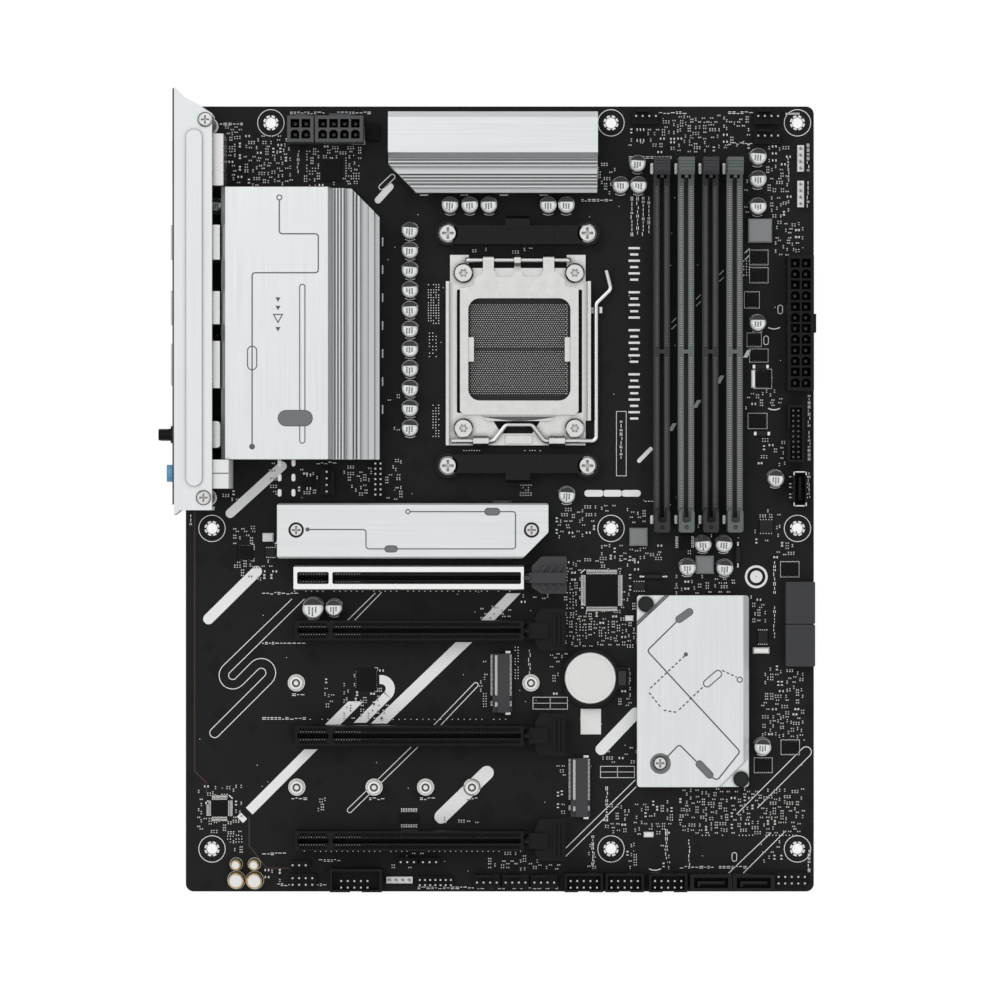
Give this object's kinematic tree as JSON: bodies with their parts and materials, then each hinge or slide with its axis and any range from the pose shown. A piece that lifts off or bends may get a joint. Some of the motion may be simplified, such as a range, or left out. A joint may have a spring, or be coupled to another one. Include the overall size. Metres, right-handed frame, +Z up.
{
  "type": "computer motherboard",
  "caption": "Full-size desktop computer board that joins a processor, memory modules, cards, drives and rear ports, with power-stage and chipset heatsinks.",
  "frame": {"origin": "axis of the centre standoff hole, at the board's underside", "axes": "+Z up through the component face; +X from the rear ports towards the front edge; +Y towards the top edge, past the processor"},
  "size_m": [0.2533, 0.3098, 0.0404],
  "materials": {
    "board": "black solder mask over glass-fibre laminate",
    "steel": "bare stainless sheet",
    "dark_steel": "phosphated steel",
    "zinc": "nickel-plated",
    "silver_alu": "brushed and anodised silver",
    "black_plastic": "fine moulded black",
    "grey_plastic": "fine moulded grey",
    "white_plastic": "white, satin",
    "pad": "soft silicone pad",
    "rubber": "black rubber",
    "ferrite": "pressed metal powder",
    "can": "bright can",
    "gilt_can": "gilt sleeve",
    "gold": "gold-plated contacts",
    "chip": "moulded epoxy",
    "panel": "dark satin paint",
    "brass": "turned brass, plated"
  },
  "bodies": {
    "board": {"pcb": "board", "socket_backplate": "dark_steel", "socket_housing": "black_plastic", "socket_contacts": "gold", "socket_frame": "steel", "socket_hinge_wire": "steel", "socket_screws": "zinc", "cooler_brackets": "black_plastic", "cooler_bracket_screws": "zinc", "memory_slots_dark": "black_plastic", "memory_slots_grey": "grey_plastic", "card_slots": "black_plastic", "card_slot_shield": "steel", "drive_sockets": "black_plastic", "standoffs": "brass", "vrm_heatsink_left": "silver_alu", "vrm_heatsink_top": "silver_alu", "inductors": "ferrite", "thermal_pads": "pad", "heatsink_screws": "zinc", "chipset_heatsink": "silver_alu", "chipset_bumpers": "rubber", "usb_stacks": "zinc", "video_ports": "zinc", "wireless_module": "zinc", "antenna_jacks": "gold", "audio_block": "white_plastic", "audio_jacks": "white_plastic", "flashback_switch": "black_plastic", "io_shield": "panel", "io_cover": "white_plastic", "io_cover_screws": "zinc", "cpu_power_connectors": "grey_plastic", "atx_power_connector": "black_plastic", "fan_headers": "black_plastic", "light_headers": "white_plastic", "pin_headers": "black_plastic", "front_usb_headers": "black_plastic", "sata_ports": "black_plastic", "connector_pins": "gold", "capacitors": "can", "audio_capacitors": "gilt_can", "ic_packages": "chip", "battery_holder": "black_plastic", "battery_clip": "dark_steel"},
    "load_plate": {"load_plate": "steel"},
    "load_lever": {"load_lever": "steel"},
    "memory_latch_1": {"memory_latch_1": "black_plastic"},
    "memory_latch_2": {"memory_latch_2": "grey_plastic"},
    "memory_latch_3": {"memory_latch_3": "black_plastic"},
    "memory_latch_4": {"memory_latch_4": "grey_plastic"},
    "card_latch_1": {"card_latch_1": "grey_plastic"},
    "card_latch_2": {"card_latch_2": "black_plastic"},
    "card_latch_3": {"card_latch_3": "black_plastic"},
    "card_latch_4": {"card_latch_4": "black_plastic"},
    "drive_heatsink": {"drive_heatsink": "silver_alu", "drive_heatsink_screws": "zinc", "drive_thermal_pad": "pad"},
    "battery": {"battery": "steel"},
    "flashback_button": {"flashback_button": "white_plastic"}
  },
  "joints": [
    {"name": "load_plate_hinge", "type": "hinge", "parent": "board", "child": "load_plate", "pos_m": [-0.03627, 0.10403, 0.0056], "axis": [-1, 0, 0], "range_deg": [0, 110]},
    {"name": "load_lever_hinge", "type": "hinge", "parent": "board", "child": "load_lever", "pos_m": [-0.03627, 0.03393, 0.0045], "axis": [1, 0, 0], "range_deg": [0, 130]},
    {"name": "memory_latch_1_hinge", "type": "hinge", "parent": "board", "child": "memory_latch_1", "pos_m": [0.0194, 0.13923, 0.0052], "axis": [-1, 0, 0], "range_deg": [0, 25]},
    {"name": "memory_latch_2_hinge", "type": "hinge", "parent": "board", "child": "memory_latch_2", "pos_m": [0.0288, 0.13923, 0.0052], "axis": [-1, 0, 0], "range_deg": [0, 25]},
    {"name": "memory_latch_3_hinge", "type": "hinge", "parent": "board", "child": "memory_latch_3", "pos_m": [0.0382, 0.13923, 0.0052], "axis": [-1, 0, 0], "range_deg": [0, 25]},
    {"name": "memory_latch_4_hinge", "type": "hinge", "parent": "board", "child": "memory_latch_4", "pos_m": [0.0476, 0.13923, 0.0052], "axis": [-1, 0, 0], "range_deg": [0, 25]},
    {"name": "card_latch_1_hinge", "type": "hinge", "parent": "board", "child": "card_latch_1", "pos_m": [-0.0315, -0.01907, 0.0052], "axis": [0, 1, 0], "range_deg": [0, 14]},
    {"name": "card_latch_2_hinge", "type": "hinge", "parent": "board", "child": "card_latch_2", "pos_m": [-0.0315, -0.03939, 0.0052], "axis": [0, 1, 0], "range_deg": [0, 14]},
    {"name": "card_latch_3_hinge", "type": "hinge", "parent": "board", "child": "card_latch_3", "pos_m": [-0.0315, -0.08003, 0.0052], "axis": [0, 1, 0], "range_deg": [0, 14]},
    {"name": "card_latch_4_hinge", "type": "hinge", "parent": "board", "child": "card_latch_4", "pos_m": [-0.0315, -0.12067, 0.0052], "axis": [0, 1, 0], "range_deg": [0, 14]},
    {"name": "drive_heatsink_lift", "type": "slide", "parent": "board", "child": "drive_heatsink", "axis": [0, 0, 1], "range_m": [0, 0.04]},
    {"name": "battery_lift", "type": "slide", "parent": "board", "child": "battery", "axis": [0, 0, 1], "range_m": [0, 0.03]},
    {"name": "flashback_button_press", "type": "slide", "parent": "board", "child": "flashback_button", "axis": [1, 0, 0], "range_m": [0, 0.0009], "stiffness_N_per_m": 800}
  ]
}
